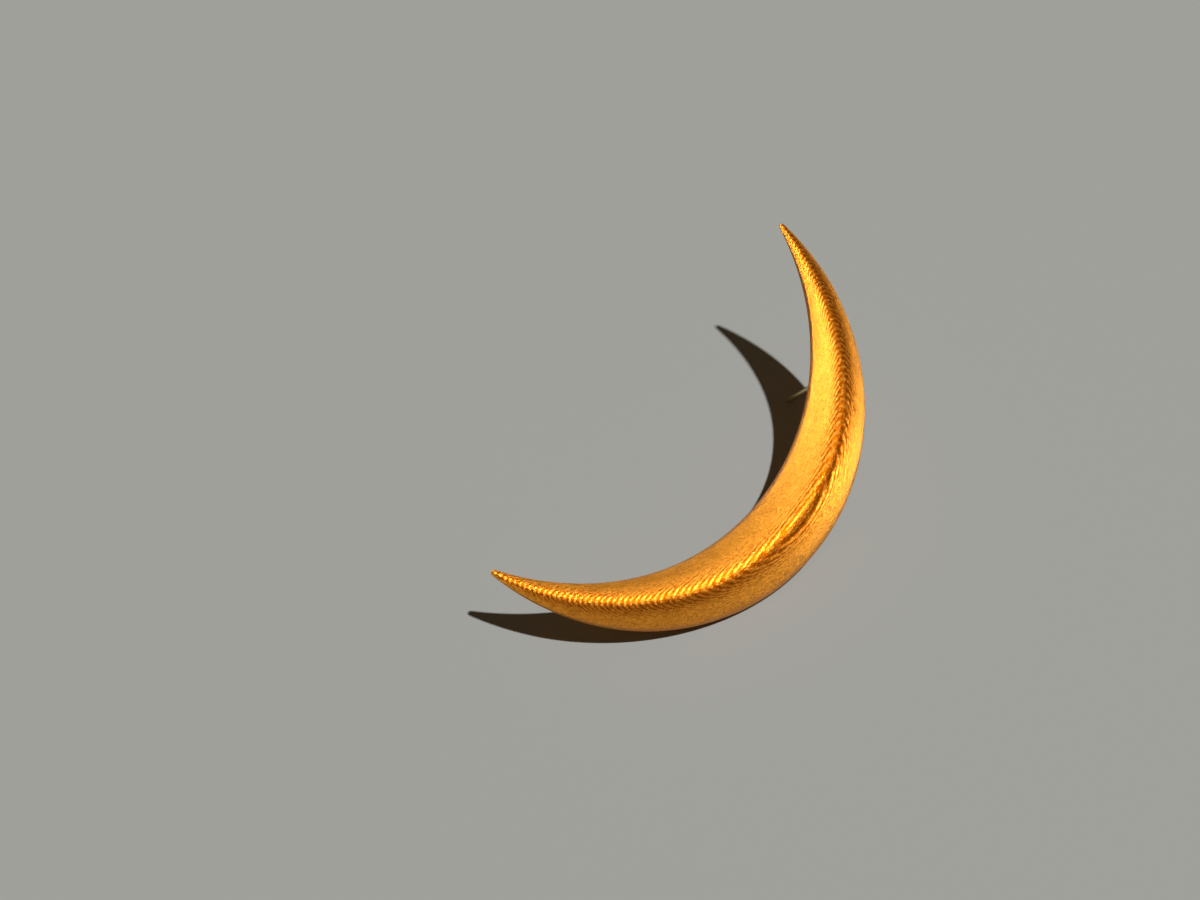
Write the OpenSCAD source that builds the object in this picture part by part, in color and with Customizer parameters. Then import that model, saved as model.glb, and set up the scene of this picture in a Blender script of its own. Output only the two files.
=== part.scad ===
// A large crescent ear stud in satin gold-toned metal, one of a mirrored pair.
// It is modelled flat on its back and then leant as it rests on a table, on the
// post's rounded end and on a short straight stretch of the outer back edge.
// Millimetres, +Z up.

/* [Crescent outline] */
// Radius of the outer, convex edge
outer_r = 27.5; // [26:0.5:29]
// Radius of the inner, concave edge
inner_r = 29.1; // [28:0.1:31]
// Width of the crescent at its middle, the belly
belly_w = 8.5; // [7:0.1:10]
// Width of the blunt tips
tip_w = 0.55; // [0.35:0.05:1.2]

/* [Crescent section] */
// Thickness at the belly, from the flat back to the crest
crest_h = 3.4; // [2.6:0.1:4.4]
// Height of the upright side wall along both edges
wall_h = 0.65; // [0.3:0.05:1]
// How fast the thickness follows the width towards the tips
taper_power = 1.1; // [0.8:0.05:1.5]
// Roundness of the crest: low is a sharp ridge, high a broad top
crest_power = 2; // [1.6:0.1:3]
// Fullness of the flanks: low is full, high is lean
flank_power = 0.55; // [0.4:0.05:0.8]

/* [Ear post] */
// Diameter of the post's wire
post_d = 0.7; // [0.6:0.05:0.9]
// Length of the post, from the flat back to its rounded end
post_len = 11.1; // [9:0.1:12]
// Where the post stands, as an angle from the belly towards the right tip
post_angle = 45.3; // [35:0.1:55]
// Distance of the post from the outer edge
post_inset = 3.9; // [3:0.1:4.5]
// Diameter of the solder round the post's root
solder_d = 1.6; // [1.2:0.1:2]
// Height of the solder on the flat back
solder_h = 0.4; // [0.2:0.05:0.6]

/* [Resting pose] */
// Direction of the line that the stud leans about, from the chord of the tips
lean_dir = -20.8; // [-24:0.1:-16]
// Half the angle, round the outer edge, of the straight stretch that it rests on
foot_half = 3; // [1:0.5:4]

/* [Fineness] */
// Sections along the crescent
sections = 72; // [40:2:96]
// Points over the top of each section
section_points = 21; // [15:2:29]

/* [Hidden] */
gold = [0.85, 0.55, 0.16];
post_r = post_d / 2;
// How far the post and its solder reach into the crescent
post_sink = 0.8;
solder_sink = 0.6;
// Sides of the round pieces
round_sides = 48;
// Where the search for the tips' angle starts, and how often it halves
least_tip_a = 45;
most_tip_a = 100;
halvings = 24;

// The inner circle's centre lies this far above the outer one's
centre_gap = belly_w + inner_r - outer_r;
// Rays that cut the sections start halfway between the two centres
ray_y = centre_gap / 2;

// Distance from the rays' start to a circle of radius r whose centre is up by y
function reach(a, r, y) = -y * cos(a) + sqrt(pow(y * cos(a), 2) - y * y + r * r);
function outer_reach(a) = reach(a, outer_r, -ray_y);
function inner_reach(a) = reach(a, inner_r, ray_y);
function width(a) = outer_reach(a) - inner_reach(a);
function thickness(a) = crest_h * pow(width(a) / belly_w, taper_power);

// The angle at which the crescent has narrowed to the tips' width, by halving
function tip_angle(from = least_tip_a, to = most_tip_a, steps = halvings) =
    steps == 0 ? from :
    let (mid = (from + to) / 2)
    width(mid) > tip_w ? tip_angle(mid, to, steps - 1) : tip_angle(from, mid, steps - 1);

// Height of the domed top, from 0 at the edges to 1 on the crest, for s from -1 to 1
function dome(s) = pow(1 - pow(abs(s), crest_power), flank_power);

// A point of a section: a is the ray's angle, s runs from the inner to the outer edge
function on_ray(a, s, z) =
    let (r = inner_reach(a) + width(a) * (1 + s) / 2)
    [r * sin(a), ray_y - r * cos(a), z];

// One closed section: the back's inner corner, over the top, the back's outer corner
function section(a) =
    let (h = thickness(a), wall = min(wall_h, h / 2))
    concat(
        [on_ray(a, -1, 0)],
        [for (j = [0 : section_points - 1])
            let (s = sin(180 * j / (section_points - 1) - 90))
            on_ray(a, s, wall + (h - wall) * dome(s))],
        [on_ray(a, 1, 0)]);

// The same places as angles round the outer circle, and back from those to the rays
tip_a = tip_angle();
tip_turn = atan2(outer_reach(tip_a) * sin(tip_a), outer_reach(tip_a) * cos(tip_a) - ray_y);
function ray_of(turn) = atan2(outer_r * sin(turn), outer_r * cos(turn) + ray_y);

// Even steps between two angles, about as long as the fineness asks for
function steps_between(from, to) =
    let (count = ceil((to - from) * sections / (2 * tip_turn)))
    [for (i = [0 : count]) from + (to - from) * i / count];

// No section falls on the short straight stretch of the edge that the stud rests on
turns = concat(steps_between(-tip_turn, lean_dir - foot_half),
               steps_between(lean_dir + foot_half, tip_turn));
rings = [for (turn = turns) section(ray_of(turn))];
ring_size = section_points + 2;
last_ring = (len(rings) - 1) * ring_size;

// The post's place on the flat back, from the outer circle's centre
post_place_r = outer_r - post_inset;
post_at = [post_place_r * sin(post_angle), -post_place_r * cos(post_angle), 0];

// The lean at which the edge's straight stretch and the post's round end both touch the table
lean_axis = [cos(lean_dir), sin(lean_dir), 0];
foot_r = outer_r * cos(foot_half);
post_back = foot_r + post_at.y * lean_axis.x - post_at.x * lean_axis.y;
post_down = post_len - post_r;
lean = atan2(post_down, post_back) + asin(post_r / norm([post_back, post_down]));

// The turn that brings the leaning chord of the tips back along X
chord_turn = atan2(lean_axis.x * lean_axis.y * (1 - cos(lean)),
                   cos(lean) + lean_axis.x * lean_axis.x * (1 - cos(lean)));

function leant(p) =
    p * cos(lean) + cross(lean_axis, p) * sin(lean)
    + lean_axis * (lean_axis * p) * (1 - cos(lean));
function turned(p) =
    [p.x * cos(chord_turn) + p.y * sin(chord_turn), p.y * cos(chord_turn) - p.x * sin(chord_turn), p.z];
resting = [for (ring = rings) for (p = ring) turned(leant(p))];
low = [for (k = [0 : 2]) min([for (p = resting) p[k]])];
high = [for (k = [0 : 2]) max([for (p = resting) p[k]])];
table_shift = [-(low.x + high.x) / 2, -(low.y + high.y) / 2, foot_r * sin(lean)];

// Stands the stud as it rests, centred over the origin
module rest_on_table() {
    translate(table_shift) rotate([0, 0, -chord_turn]) rotate(a = lean, v = lean_axis) children();
}

module crescent() {
    side_faces = [for (i = [0 : len(rings) - 2]) for (j = [0 : ring_size - 1])
        let (a = i * ring_size + j, b = i * ring_size + (j + 1) % ring_size)
        each [[a, a + ring_size, b], [b, a + ring_size, b + ring_size]]];
    left_tip = [for (j = [0 : ring_size - 1]) j];
    right_tip = [for (j = [0 : ring_size - 1]) last_ring + ring_size - 1 - j];
    polyhedron([for (ring = rings) each ring], concat(side_faces, [left_tip, right_tip]));
}

module ear_post() {
    translate([post_at.x, post_at.y, -post_down]) {
        cylinder(h = post_down + post_sink, r = post_r, $fn = round_sides);
        sphere(r = post_r, $fn = round_sides);
    }
}

module solder() {
    translate([post_at.x, post_at.y, -solder_h])
        cylinder(h = solder_h + solder_sink, r1 = post_r, r2 = solder_d / 2, $fn = round_sides);
}

// Crescent, solder and post are soldered metal, so they are one solid
module crescent_stud() {
    color(gold) rest_on_table() union() {
        crescent();
        solder();
        ear_post();
    }
}

crescent_stud();
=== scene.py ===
"""The looks of a large crescent ear stud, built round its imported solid, in metres."""
import math

import bmesh
import bpy
from mathutils import Matrix, Vector


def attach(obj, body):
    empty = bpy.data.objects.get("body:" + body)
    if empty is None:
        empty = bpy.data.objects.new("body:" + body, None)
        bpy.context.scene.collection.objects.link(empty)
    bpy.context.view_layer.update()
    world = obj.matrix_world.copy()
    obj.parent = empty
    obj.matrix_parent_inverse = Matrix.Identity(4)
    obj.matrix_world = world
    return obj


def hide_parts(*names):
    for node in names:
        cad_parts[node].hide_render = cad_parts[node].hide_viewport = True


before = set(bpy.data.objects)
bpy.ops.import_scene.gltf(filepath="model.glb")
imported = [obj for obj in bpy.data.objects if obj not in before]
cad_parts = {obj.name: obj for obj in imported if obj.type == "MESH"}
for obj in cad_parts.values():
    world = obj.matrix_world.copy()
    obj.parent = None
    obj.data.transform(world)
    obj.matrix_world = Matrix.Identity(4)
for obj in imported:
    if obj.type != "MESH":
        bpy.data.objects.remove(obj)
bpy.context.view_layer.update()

MM = 0.001
# A hair's breadth, for edges that nearly touch
HAIR = 0.01 * MM

# Crescent: two circles, a domed front and a flat back
OUTER_R = 27.5 * MM
INNER_R = 29.1 * MM
BELLY_W = 8.5 * MM
CREST_H = 3.4 * MM
WALL_H = 0.65 * MM
TAPER_POWER = 1.1
CREST_POWER = 2
FLANK_POWER = 0.55
# The rays that cut the sections start halfway between the centres of the two circles
RAY_Y = (BELLY_W + INNER_R - OUTER_R) / 2
# The line along the middle of the crescent is bent to this radius
BEND_R = (OUTER_R + INNER_R) / 2
# The ray on which a tip ends, measured from the belly
TIP_TURN = math.radians(77.4)
# Each tip is rounded over this length, to this share of its width at the very end
TIP_ROUND = 0.3 * MM
TIP_END_SHARE = 0.3464
# Steps from tip to tip, distances of the extra sections from a tip's end, and points on half a section
STATIONS = 150
END_STATIONS = (0, 0.02 * MM, 0.06 * MM, 0.13 * MM, 0.22 * MM)
HALF_POINTS = 10

# Ear post, measured from the flat back to its round end, and solder, each sunk a little into the crescent
POST_R = 0.35 * MM
POST_LEN = 11.1 * MM
POST_SINK = 0.8 * MM
POST_TURN = math.radians(45.3)
POST_INSET = 3.9 * MM
POST_X = (OUTER_R - POST_INSET) * math.sin(POST_TURN)
POST_Y = -(OUTER_R - POST_INSET) * math.cos(POST_TURN)
# The bevel that rounds the post's end, as a share of its radius, and its steps
END_BEVEL = 0.92
END_STEPS = 8
SOLDER_R = 0.8 * MM
SOLDER_H = 0.4 * MM
SOLDER_SINK = 0.15 * MM
SOLDER_RINGS = 8
ROUND_SIDES = 48

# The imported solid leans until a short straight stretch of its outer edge, which spans twice FOOT_HALF,
# and the post's round end both touch the table
LEAN_DIR = math.radians(-20.8)
LEAN_AXIS = Vector((math.cos(LEAN_DIR), math.sin(LEAN_DIR), 0))
FOOT_HALF = math.radians(3)
FOOT_R = OUTER_R * math.cos(FOOT_HALF)
POST_DOWN = POST_LEN - POST_R
POST_BACK = FOOT_R + POST_Y * LEAN_AXIS.x - POST_X * LEAN_AXIS.y
LEAN = math.atan2(POST_DOWN, POST_BACK) + math.asin(POST_R / math.hypot(POST_DOWN, POST_BACK))
# Then it turns until the chord of its tips is along X, and moves until it stands over the origin
CHORD_TURN = math.atan2(LEAN_AXIS.x * LEAN_AXIS.y * (1 - math.cos(LEAN)),
                        math.cos(LEAN) + LEAN_AXIS.x ** 2 * (1 - math.cos(LEAN)))
TABLE_SHIFT = Vector((-0.11058 * MM, 12.5265 * MM, FOOT_R * math.sin(LEAN)))
REST = (Matrix.Translation(TABLE_SHIFT) @ Matrix.Rotation(-CHORD_TURN, 4, "Z")
        @ Matrix.Rotation(LEAN, 4, LEAN_AXIS))
# The direction of the crescent's front, once it rests
UPRIGHT = REST.to_3x3() @ Vector((0, 0, 1))

# Level layers of the casting's pattern, which leave ridges where the front is not too steep
LAYER = 0.07 * MM
CUTS_A_LAYER = 3
# How far a ridge rises and its groove sinks
RIDGE = 0.024 * MM
# The ridges keep this share on the level top, are full between the next two slopes, and end at the last
LEVEL_SHARE = 0.15
LEVEL_SLOPE = 0.15
FULL_RIDGE_SLOPE = 0.186
NO_RIDGE_SLOPE = 0.55
# The least height that a normal counts with, because its slope is worked out by dividing by it
UPRIGHT_NORMAL = 0.01
# How far the layers wander up and down in all, over what distance and with how many finer waves in it,
# and the share that is then evened out
WANDER = 0.035 * MM
WANDER_SIZE = 0.42 * MM
WANDER_DEPTH = 2
EVENED_OUT = 0.9
# The ruler for the layers is so wide that only heights count on it
RULER_WIDTH = 1000

# Angles between faces, in degrees, past which an edge stays sharp
CRESCENT_EDGE = 89
WIRE_EDGE = 50

# Satin gold: its mean colour, a shaded and a lit copy of it, and how much the painted highlight and shade
# on the ridges, and the random grains and streaks, brighten it
MEAN_GOLD = (0.95, 0.355, 0.038, 1)
SHADED_AND_DULL_GOLD = (0.40, 0.081, 0.0, 1)
LIT_AND_BRIGHT_GOLD = (1, 0.393, 0.041, 1)
# Painted highlight on the ridges' tops and painted shade in their grooves, in the base colour
RIDGE_PAINTED_LIGHT = 0.58
GRAIN_SHINE = 1.6
STREAK_SHINE = 1.2
STREAK_SCALE = (2, 2, 14)
# Its roughness, what soft clouds add to it and what the ridges' tops lose
SATIN_ROUGHNESS = 0.265
CLOUD_ROUGHNESS = 0.075
RIDGE_POLISH = 0.035
# A noise runs from 0 to 1, so this is taken off where it adds and takes away by turns
NOISE_MIDDLE = 0.5
# How far the hairlines tilt the light wherever they show, and how much more with the slope
LINE_TILT = 4.95
SLOPE_TILT = 7.15
# The depth of the grain, and how many times that it is on the level top and between the lines
GRAIN_DEPTH = 0.014 * MM
LEVEL_GRAIN = 2.6
LINED_GRAIN = 0.6
# The flat back faces away from the front by at least this much, and is sanded along the chord of the tips
BACK_FACING = 0.9
SANDED_NORMAL = Vector((0, 0.4, 0.9))

# Drawn wire, with faint marks along it
WIRE_GOLD = (0.8, 0.66, 0.33, 1)
WIRE_ROUGHNESS = 0.25
MARK_ROUGHNESS = 0.15
MARK_SCALE = (12, 12, 0.5)
MARK_DEPTH = 0.01 * MM
MARK_STRENGTH = 0.2

# The floor, the light and the camera, which looks at a point on the table from the photographed angle
FLOOR_SIZE = 1.2
FLOOR_GREY = (0.380, 0.388, 0.369, 1)
FLOOR_ROUGHNESS = 0.9
KEY_FROM = Vector((0.1055, -0.3244, 1))
KEY_STRENGTH = 2.8
KEY_ANGLE = math.radians(1.8)
ROOM_COLOUR = (1, 0.73, 0.44, 1)
ROOM_STRENGTH = 0.063
CAMERA_AZIMUTH = math.radians(-53.955)
CAMERA_HEIGHT = math.radians(49.841)
CAMERA_ROLL = math.radians(1.261)
CAMERA_AIM = Vector((-0.364 * MM, 17.079 * MM, 0))
CAMERA_DISTANCE = 211.85 * MM
CAMERA_LENS = 54.133
CAMERA_SENSOR = 36


def outer_reach(turn):
    """Distance along a ray to the outer circle."""
    return RAY_Y * math.cos(turn) + math.sqrt(OUTER_R ** 2 - (RAY_Y * math.sin(turn)) ** 2)


def inner_reach(turn):
    """Distance along a ray to the inner circle."""
    return -RAY_Y * math.cos(turn) + math.sqrt(INNER_R ** 2 - (RAY_Y * math.sin(turn)) ** 2)


def full_width(turn):
    """The crescent's width on a ray, before its tips are rounded."""
    return outer_reach(turn) - inner_reach(turn)


def end_round(distance):
    """The share of the width that is left at this distance from a tip's rounded end."""
    return math.sqrt(1 - (1 - TIP_END_SHARE ** 2) * (1 - min(1, distance / TIP_ROUND)) ** 2)


def dome(step):
    """Height of the dome, from 0 at the edges to 1 on the crest, for a step from -1 to 1."""
    return (1 - abs(step) ** CREST_POWER) ** FLANK_POWER


def active(piece):
    """Selects the piece alone."""
    bpy.ops.object.select_all(action="DESELECT")
    piece.select_set(True)
    bpy.context.view_layer.objects.active = piece


def edit(piece):
    """Opens the piece in edit mode."""
    active(piece)
    bpy.ops.object.mode_set(mode="EDIT")


def done():
    """Leaves edit mode."""
    bpy.ops.object.mode_set(mode="OBJECT")


def named(name):
    """Names the primitive that was just added, and puts its place in its mesh."""
    piece = bpy.context.object
    piece.name = piece.data.name = name
    bpy.ops.object.transform_apply(location=True)
    return piece


def finish_faces(sharp_angle):
    """Turns the faces outwards, leaves edit mode and smooths all but the sharp edges."""
    bpy.ops.mesh.select_all(action="SELECT")
    bpy.ops.mesh.normals_make_consistent(inside=False)
    done()
    bpy.ops.object.shade_smooth_by_angle(angle=math.radians(sharp_angle))


def apply_modifier(piece, kind, **settings):
    """Adds a modifier with these settings and applies it."""
    active(piece)
    modifier = piece.modifiers.new(kind.lower(), kind)
    for name, value in settings.items():
        setattr(modifier, name, value)
    bpy.ops.object.modifier_apply(modifier=modifier.name)


def raise_surface(piece, texture, strength, **settings):
    """Moves the surface up and down by a texture, by half the strength each way."""
    apply_modifier(piece, "DISPLACE", texture=texture, strength=strength, direction="Z",
                   mid_level=0.5, **settings)


def rest_on_table(piece):
    """Leans a piece that was made flat on its back, and puts its place in its mesh."""
    active(piece)
    piece.matrix_world = REST
    bpy.ops.object.transform_apply(location=True, rotation=True, scale=True)


def draw_line(name, points):
    """Draws a line by extruding one vertex from point to point, and leaves it in edit mode."""
    bpy.ops.object.select_all(action="DESELECT")
    bpy.ops.mesh.primitive_plane_add(size=MM, location=(0, 0, 0))
    line = named(name)
    edit(line)
    bpy.ops.mesh.select_all(action="SELECT")
    bpy.ops.mesh.merge(type="CENTER")
    bpy.ops.transform.translate(value=points[0])
    for here, there in zip(points, points[1:]):
        step = Vector(there) - Vector(here)
        bpy.ops.mesh.extrude_region_move(TRANSFORM_OT_translate={"value": step})
    return line


def loft_crescent():
    """The domed body laid out straight: one section, extruded and resized from tip to tip."""
    near_tip = [TIP_TURN - distance / BEND_R for distance in END_STATIONS]
    turns = [TIP_TURN * (2 * i / STATIONS - 1) for i in range(1, STATIONS)]
    turns = [-turn for turn in near_tip] + turns + near_tip[::-1]
    along = [BEND_R * turn for turn in turns]
    widths = [full_width(turn) * end_round(BEND_R * (TIP_TURN - abs(turn))) for turn in turns]
    middles = [BEND_R - (outer_reach(turn) + inner_reach(turn)) / 2 for turn in turns]
    heights = [CREST_H * (full_width(turn) / BELLY_W) ** TAPER_POWER for turn in turns]
    walls = [min(WALL_H, height / 2) for height in heights]
    domes = [height - wall for height, wall in zip(heights, walls)]
    # The first section is at the left tip, and runs from the outer edge to the inner one
    steps = [math.sin(math.pi / 2 * j / HALF_POINTS) for j in range(-HALF_POINTS, HALF_POINTS + 1)]
    body = draw_line("crescent", [
        (along[0], middles[0] + step * widths[0] / 2, walls[0] + domes[0] * dome(step))
        for step in steps])
    bpy.ops.mesh.select_all(action="SELECT")
    for i in range(1, len(turns)):
        move = (along[i] - along[i - 1], middles[i] - middles[i - 1], walls[i] - walls[i - 1])
        size = (1, widths[i] / widths[i - 1], domes[i] / domes[i - 1])
        bpy.ops.mesh.extrude_region_move(TRANSFORM_OT_translate={"value": move})
        bpy.ops.transform.resize(value=size, center_override=(along[i], middles[i], walls[i]))
    done()
    return body


def keep_smooth_normals(body):
    """Keeps the smooth dome's normals, because the level lines in the metal's finish follow them."""
    smooth = body.data.attributes.new("smooth_normal", "FLOAT_VECTOR", "POINT")
    # The open shell's faces still look inwards
    for vertex in body.data.vertices:
        smooth.data[vertex.index].vector = -vertex.normal


def weigh_ridges(body):
    """The ridges are highest on gentle slopes, faint on the level top, and fade out down the flanks."""
    ridged = body.vertex_groups.new(name="ridged")
    least = FULL_RIDGE_SLOPE / NO_RIDGE_SLOPE
    for vertex in body.data.vertices:
        slope = vertex.normal.xy.length / max(abs(vertex.normal.z), UPRIGHT_NORMAL)
        fade = (FULL_RIDGE_SLOPE / max(slope, FULL_RIDGE_SLOPE) - least) / (1 - least)
        level = min(1, LEVEL_SHARE + (1 - LEVEL_SHARE) * (slope / LEVEL_SLOPE) ** 2)
        ridged.add([vertex.index], max(0, fade * level), "REPLACE")


def cut_layers(body):
    """Level cuts through the gentle slopes, a few to each layer."""
    edit(body)
    mesh = bmesh.from_edit_mesh(body.data)
    bpy.ops.mesh.select_mode(type="FACE")
    for face in mesh.faces:
        face.select = abs(face.normal.z) < math.cos(math.atan(NO_RIDGE_SLOPE))
    bmesh.update_edit_mesh(body.data)
    bpy.ops.mesh.hide()
    step = LAYER / CUTS_A_LAYER
    for k in range(1, round((CREST_H + 2 * LAYER) / step)):
        bpy.ops.mesh.select_all(action="SELECT")
        bpy.ops.mesh.bisect(plane_co=(0, 0, k * step), plane_no=(0, 0, 1), threshold=1e-7)
    bpy.ops.mesh.reveal(select=False)
    done()


def raise_ridges(body):
    """A wave in height, one to a layer, that turns the layers into ridges."""
    wave = bpy.data.textures.new("layers", "WOOD")
    wave.wood_type = "BANDS"
    wave.noise_basis_2 = "SIN"
    # The bands are the sine of ten times the sum of the coordinates
    bpy.ops.object.empty_add()
    ruler = bpy.context.object
    ruler.scale = (RULER_WIDTH, RULER_WIDTH, 10 * LAYER / (2 * math.pi))
    bpy.context.view_layer.update()
    before = [vertex.co.z for vertex in body.data.vertices]
    raise_surface(body, wave, 2 * RIDGE, texture_coords="OBJECT", texture_coords_object=ruler,
                  vertex_group="ridged")
    bpy.data.objects.remove(ruler)
    # How high each place is on its ridge, from -1 to 1, for the metal's roughness and the painted highlight
    # and shade on the ridges
    raised = body.data.attributes.new("raised", "FLOAT", "POINT")
    for vertex, height in zip(body.data.vertices, before):
        raised.data[vertex.index].value = (vertex.co.z - height) / RIDGE


def close_back(body):
    """Upright side walls down to the flat back, and the back itself."""
    edit(body)
    bpy.ops.mesh.select_mode(type="EDGE")
    bpy.ops.mesh.select_all(action="DESELECT")
    bpy.ops.mesh.select_non_manifold()
    bpy.ops.mesh.extrude_region_move()
    bpy.ops.transform.resize(value=(1, 1, 0), center_override=(0, 0, 0))
    bpy.ops.mesh.fill(use_beauty=True)
    finish_faces(CRESCENT_EDGE)


def make_crescent():
    """The domed body: lofted straight, bent to its arc, and ridged in level layers."""
    body = loft_crescent()
    apply_modifier(body, "SUBSURF", levels=2, render_levels=2, boundary_smooth="PRESERVE_CORNERS")
    apply_modifier(body, "SIMPLE_DEFORM", deform_method="BEND", deform_axis="Z", angle=2 * TIP_TURN)
    # The outer circle's centre is the origin
    body.location = (0, RAY_Y - BEND_R, 0)
    bpy.ops.object.transform_apply(location=True)
    keep_smooth_normals(body)
    weigh_ridges(body)
    # The pattern's surface was never quite even, so it wanders while its layers are made
    uneven = bpy.data.textures.new("rough", "CLOUDS")
    uneven.noise_scale = WANDER_SIZE
    uneven.noise_depth = WANDER_DEPTH
    uneven.noise_basis = "ORIGINAL_PERLIN"
    raise_surface(body, uneven, WANDER, texture_coords="LOCAL")
    cut_layers(body)
    raise_ridges(body)
    raise_surface(body, uneven, -EVENED_OUT * WANDER, texture_coords="LOCAL")
    close_back(body)
    return body


def make_post():
    """The wire post: a cylinder whose free end is rounded."""
    depth = POST_LEN + POST_SINK
    bpy.ops.object.select_all(action="DESELECT")
    bpy.ops.mesh.primitive_cylinder_add(
        vertices=ROUND_SIDES, radius=POST_R, depth=depth, end_fill_type="NGON",
        location=(POST_X, POST_Y, POST_SINK - depth / 2))
    post = named("ear_post")
    edit(post)
    bpy.ops.mesh.select_all(action="DESELECT")
    bpy.ops.mesh.select_mode(type="VERT")
    mesh = bmesh.from_edit_mesh(post.data)
    for vertex in mesh.verts:
        vertex.select = vertex.co.z < HAIR - POST_LEN
    mesh.select_flush_mode()
    bmesh.update_edit_mesh(post.data)
    bpy.ops.mesh.bevel(offset=END_BEVEL * POST_R, segments=END_STEPS, affect="EDGES", profile=0.5)
    finish_faces(WIRE_EDGE)
    return post


def make_solder():
    """The small fillet of solder round the post's root, hollow in its flank."""
    bpy.ops.object.select_all(action="DESELECT")
    bpy.ops.mesh.primitive_circle_add(vertices=ROUND_SIDES, radius=SOLDER_R, fill_type="NGON",
                                      location=(POST_X, POST_Y, SOLDER_SINK))
    solder = named("solder")
    edit(solder)
    bpy.ops.mesh.select_all(action="SELECT")
    here_r = SOLDER_R
    here_z = SOLDER_SINK
    for i in range(SOLDER_RINGS + 1):
        turn = math.pi / 2 * i / SOLDER_RINGS
        there_r = POST_R + (SOLDER_R - POST_R) * (1 - math.sin(turn))
        there_z = -SOLDER_H * (1 - math.cos(turn))
        # The last ring just clears the post
        if i == SOLDER_RINGS:
            there_r += HAIR
        bpy.ops.mesh.extrude_region_move(TRANSFORM_OT_translate={"value": (0, 0, there_z - here_z)})
        bpy.ops.transform.resize(value=(there_r / here_r, there_r / here_r, 1),
                                 center_override=(POST_X, POST_Y, there_z))
        here_r = there_r
        here_z = there_z
    finish_faces(WIRE_EDGE)
    return solder


class Socket:
    """A socket of a material's nodes that can be used in sums."""

    def __init__(self, finish, socket):
        self.finish = finish
        self.socket = socket

    def math(self, operation, first, second):
        return self.finish.node("ShaderNodeMath", {"operation": operation}, {0: first, 1: second})

    def __add__(self, other):
        return self.math("ADD", self, other)

    def __radd__(self, other):
        return self.math("ADD", other, self)

    def __sub__(self, other):
        return self.math("SUBTRACT", self, other)

    def __rsub__(self, other):
        return self.math("SUBTRACT", other, self)

    def __mul__(self, other):
        return self.math("MULTIPLY", self, other)

    def __rmul__(self, other):
        return self.math("MULTIPLY", other, self)

    def __gt__(self, other):
        return self.math("GREATER_THAN", self, other)


class Finish:
    """A material, with one method that adds any node to it, and short forms for the common ones."""

    def __init__(self, name, colour, **constants):
        self.material = bpy.data.materials.new(name)
        self.material.use_nodes = True
        self.tree = self.material.node_tree
        self.surface = self.tree.nodes["Principled BSDF"]
        self.surface.inputs["Base Color"].default_value = colour
        for socket, value in constants.items():
            self.surface.inputs[socket].default_value = value

    def node(self, kind, settings, inputs, output=0):
        """Adds a node, with its settings first and then the values or links of its sockets."""
        made = self.tree.nodes.new(kind)
        for name, value in settings.items():
            setattr(made, name, value)
        for name, value in inputs.items():
            if isinstance(value, Socket):
                self.tree.links.new(value.socket, made.inputs[name])
            else:
                made.inputs[name].default_value = value
        return Socket(self, made.outputs[output])

    def feed(self, socket, value):
        """Links a value to a socket of the surface."""
        self.tree.links.new(value.socket, self.surface.inputs[socket])

    def flat_place(self):
        """The place on a piece as it was made flat on its back, in millimetres."""
        back = REST.inverted()
        place = self.node("ShaderNodeTexCoord", {}, {}, "Object")
        return self.node("ShaderNodeMapping", {"vector_type": "POINT"}, {
            "Vector": place, "Location": back.translation / MM, "Rotation": back.to_euler("XYZ"),
            "Scale": (1 / MM, 1 / MM, 1 / MM)})

    def stretch(self, place, scale):
        return self.node("ShaderNodeMapping", {"vector_type": "POINT"}, {"Vector": place, "Scale": scale})

    def noise(self, place, scale, detail, roughness=0.5):
        return self.node("ShaderNodeTexNoise", {}, {
            "Vector": place, "Scale": scale, "Detail": detail, "Roughness": roughness})

    def attribute(self, name, output):
        return self.node("ShaderNodeAttribute", {"attribute_name": name}, {}, output)

    def vectors(self, operation, *vectors, output="Vector"):
        """Vector Math on one vector or two."""
        return self.node("ShaderNodeVectorMath", {"operation": operation}, dict(enumerate(vectors)), output)

    def ramp(self, value, start, end, low=0, high=1):
        """Goes from low to high while the value goes from start to end, and stays there past them."""
        return self.node("ShaderNodeMapRange", {}, {
            "Value": value, "From Min": start, "From Max": end, "To Min": low, "To Max": high})

    def mix(self, kind, factor, first, second):
        """A Mix of two vectors or two colours, whose sockets share their names and so go by number."""
        number, result = {"VECTOR": (4, 1), "RGBA": (6, 2)}[kind]
        return self.node("ShaderNodeMix", {"data_type": kind}, {
            0: factor, number: first, number + 1: second}, result)


def steepness(gold, outward):
    """How steep the smooth dome is, from 0 to 1, and the way down its slope."""
    smooth = gold.node("ShaderNodeMapping", {"vector_type": "VECTOR"}, {
        "Vector": gold.attribute("smooth_normal", "Vector"), "Rotation": REST.to_euler("XYZ")})
    on_back = gold.vectors("DOT_PRODUCT", outward, -UPRIGHT, output="Value") > BACK_FACING
    smooth = gold.mix("VECTOR", on_back, smooth, REST.to_3x3() @ SANDED_NORMAL)
    level = gold.vectors("CROSS_PRODUCT", smooth, UPRIGHT)
    steep = gold.vectors("LENGTH", level, output="Value")
    downhill = gold.vectors("NORMALIZE", gold.vectors("CROSS_PRODUCT", level, outward))
    return steep, downhill


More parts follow.
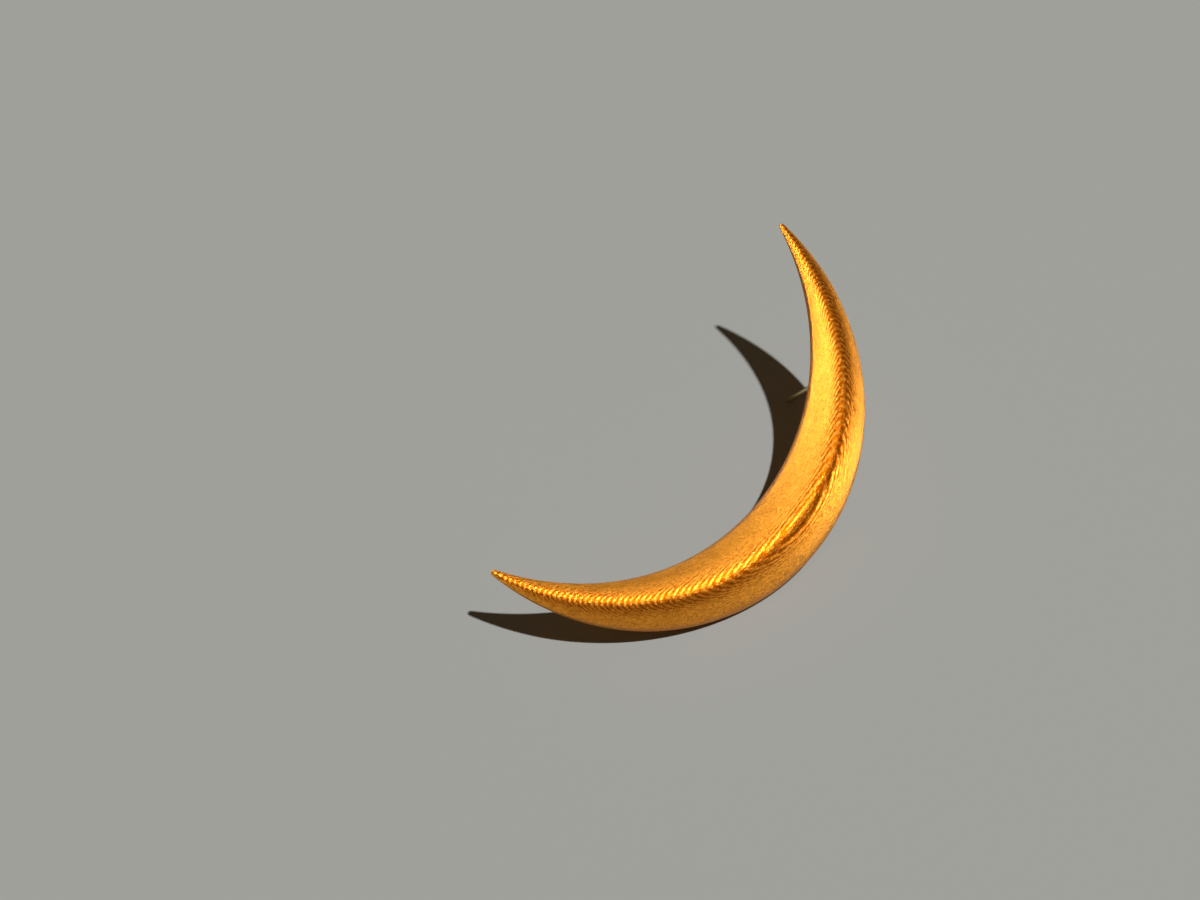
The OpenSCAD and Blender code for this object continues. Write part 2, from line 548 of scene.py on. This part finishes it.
def satin_gold():
    """Satin gold with hair-fine level lines, which spread the light down the slope, hardly along it."""
    gold = Finish("satin_gold", MEAN_GOLD, Metallic=1.0)
    place = gold.flat_place()
    outward = gold.node("ShaderNodeTexCoord", {}, {}, "Normal")
    steep, downhill = steepness(gold, outward)
    raised = gold.attribute("raised", "Fac")
    grain = gold.noise(place, scale=5, detail=3, roughness=0.6) - NOISE_MIDDLE
    streaks = gold.noise(gold.stretch(place, STREAK_SCALE), scale=1, detail=3, roughness=0.6) - NOISE_MIDDLE
    hairlines = gold.noise(place, scale=40, detail=2, roughness=0.6) - NOISE_MIDDLE
    clouds = gold.noise(place, scale=1.3, detail=3)
    # Painted shade and highlight: the base colour is darker on the level top and lighter on the steeper
    # places, for how the light falls there
    painted_slope_light = gold.ramp(steep, start=0.06, end=0.40, low=0.18, high=0.82)
    # The base colour is mixed between a shaded and a lit copy of the gold, by the painted shade and
    # highlights and by the random grain and streaks
    painted_light_and_tone = painted_slope_light + RIDGE_PAINTED_LIGHT * raised + GRAIN_SHINE * grain + STREAK_SHINE * streaks
    gold.feed("Base Color", gold.mix("RGBA", painted_light_and_tone, SHADED_AND_DULL_GOLD, LIT_AND_BRIGHT_GOLD))
    gold.feed("Roughness", SATIN_ROUGHNESS + CLOUD_ROUGHNESS * clouds - RIDGE_POLISH * raised)
    # The level top has more grain and no lines
    lined = gold.ramp(steep, start=0.07, end=0.16)
    tilt = hairlines * (LINE_TILT * lined + SLOPE_TILT * steep) + streaks * lined
    tilted = gold.node("ShaderNodeVectorMath", {"operation": "SCALE"}, {0: downhill, "Scale": tilt})
    tilted = gold.node("ShaderNodeVectorTransform", {
        "vector_type": "NORMAL", "convert_from": "OBJECT", "convert_to": "WORLD"}, {
        0: gold.vectors("ADD", outward, tilted)})
    gold.feed("Normal", gold.node("ShaderNodeBump", {}, {
        "Height": grain * (LEVEL_GRAIN - (LEVEL_GRAIN - LINED_GRAIN) * lined),
        "Strength": 1, "Distance": GRAIN_DEPTH, "Normal": tilted}))
    return gold.material


def drawn_wire():
    """The post's wire: a paler gold, drawn smooth, with faint marks along it."""
    gold = Finish("drawn_wire", WIRE_GOLD, Metallic=1.0)
    marks = gold.noise(gold.stretch(gold.flat_place(), MARK_SCALE), scale=1, detail=2)
    gold.feed("Roughness", WIRE_ROUGHNESS + MARK_ROUGHNESS * marks)
    gold.feed("Normal", gold.node("ShaderNodeBump", {}, {
        "Height": marks, "Strength": MARK_STRENGTH, "Distance": MARK_DEPTH}))
    return gold.material


crescent = make_crescent()
post = make_post()
solder = make_solder()
wire = drawn_wire()
crescent.data.materials.append(satin_gold())
post.data.materials.append(wire)
solder.data.materials.append(wire)
for piece in (crescent, post, solder):
    rest_on_table(piece)
    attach(piece, "root")
    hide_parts("crescent_stud")

# A plain pale floor
bpy.ops.mesh.primitive_plane_add(size=FLOOR_SIZE, location=(0, 0, 0))
floor = bpy.context.object
floor.name = "floor"
floor.data.materials.append(Finish("pale_floor", FLOOR_GREY, Roughness=FLOOR_ROUGHNESS).material)

# The camera
camera = bpy.data.objects.new("camera", bpy.data.cameras.new("camera"))
bpy.context.scene.collection.objects.link(camera)
toward = Vector((math.sin(CAMERA_AZIMUTH) * math.cos(CAMERA_HEIGHT),
                 -math.cos(CAMERA_AZIMUTH) * math.cos(CAMERA_HEIGHT), math.sin(CAMERA_HEIGHT)))
camera.location = CAMERA_AIM + CAMERA_DISTANCE * toward
camera.rotation_mode = "QUATERNION"
camera.rotation_quaternion = (toward.to_track_quat("Z", "Y")
                              @ Matrix.Rotation(CAMERA_ROLL, 3, "Z").to_quaternion())
camera.data.lens = CAMERA_LENS
camera.data.sensor_width = CAMERA_SENSOR
camera.data.clip_start = 0.005
camera.data.clip_end = 10
bpy.context.scene.camera = camera

# One small key light, and a dim room
key = bpy.data.objects.new("key", bpy.data.lights.new("key", "SUN"))
bpy.context.scene.collection.objects.link(key)
key.rotation_mode = "QUATERNION"
key.rotation_quaternion = KEY_FROM.to_track_quat("Z", "Y")
key.data.energy = KEY_STRENGTH
key.data.angle = KEY_ANGLE
world = bpy.data.worlds.new("room")
bpy.context.scene.world = world
world.use_nodes = True
room = world.node_tree.nodes["Background"]
room.inputs["Color"].default_value = ROOM_COLOUR
room.inputs["Strength"].default_value = ROOM_STRENGTH
bpy.context.scene.view_settings.view_transform = "Standard"
